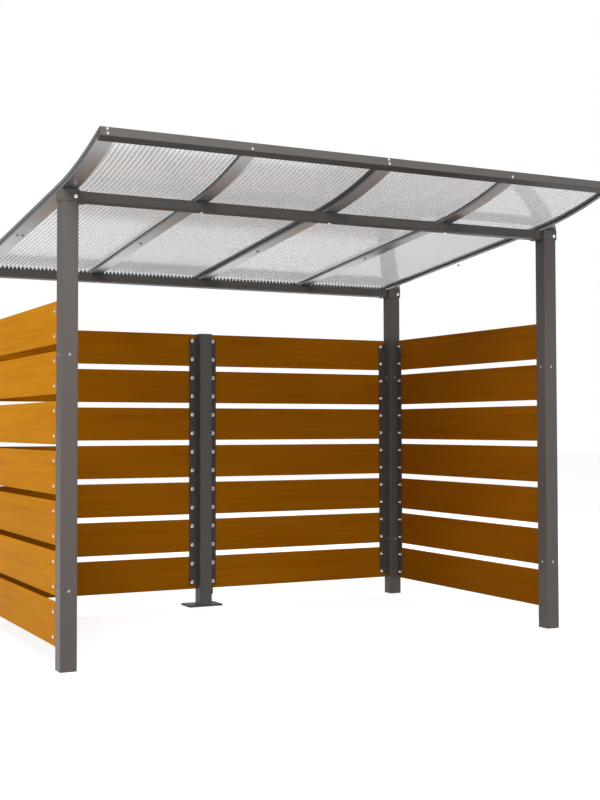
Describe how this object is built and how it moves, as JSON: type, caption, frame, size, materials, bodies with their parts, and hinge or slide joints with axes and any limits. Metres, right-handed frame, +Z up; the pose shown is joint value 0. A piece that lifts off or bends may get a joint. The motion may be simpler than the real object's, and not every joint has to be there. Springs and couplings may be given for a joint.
{
  "type": "bin shelter",
  "caption": "Open bin shelter: a steel post frame with slatted board walls on the left, back and right, under a clear pent roof that sweeps up over the open front.",
  "frame": {"origin": "on the ground, at the centre of the whole shelter's footprint box", "axes": "+X to the right seen from the open front, +Y towards the back wall, +Z up"},
  "size_m": [3.009, 2.495, 2.501],
  "materials": {
    "frame_metal": "satin powder coat, warm grey brown",
    "fitting_metal": "satin powder coat, warm grey brown",
    "roof_metal": "smooth powder coat, warm grey brown",
    "cap_metal": "smooth powder coat, dark grey brown",
    "timber": "planed softwood, oiled golden brown",
    "gasket_rubber": "matt black rubber",
    "clear_sheet": "translucent twin-wall polycarbonate, glossy"
  },
  "bodies": {
    "root": {"post_front_left": "frame_metal", "post_front_right": "frame_metal", "post_back_left": "frame_metal", "post_back_right": "frame_metal", "head_front_left": "fitting_metal", "head_front_right": "fitting_metal", "head_back_left": "fitting_metal", "head_back_right": "fitting_metal", "middle_post": "frame_metal", "middle_post_cap": "cap_metal", "base_plate": "fitting_metal", "rail_left_front": "fitting_metal", "rail_left_back": "fitting_metal", "rail_back_left": "fitting_metal", "rail_middle_left": "fitting_metal", "rail_middle_right": "fitting_metal", "rail_back_right": "fitting_metal", "rail_right_back": "fitting_metal", "rail_right_front": "fitting_metal", "boards_left": "timber", "boards_back_left": "timber", "boards_back_right": "timber", "boards_right": "timber", "purlin_front": "frame_metal", "purlin_back": "frame_metal", "roof_bar_left": "roof_metal", "roof_bar_mid_left": "roof_metal", "roof_bar_centre": "roof_metal", "roof_bar_mid_right": "roof_metal", "roof_bar_right": "roof_metal", "gasket_left": "gasket_rubber", "gasket_mid_left": "gasket_rubber", "gasket_centre": "gasket_rubber", "gasket_mid_right": "gasket_rubber", "gasket_right": "gasket_rubber", "roof_sheet_left": "clear_sheet", "roof_sheet_right": "clear_sheet", "cover_left": "roof_metal", "cover_centre": "roof_metal", "cover_right": "roof_metal", "rear_channel_left": "roof_metal", "rear_channel_right": "roof_metal", "fascia": "frame_metal", "fascia_cap_left": "cap_metal", "fascia_cap_right": "cap_metal"}
  },
  "joints": []
}
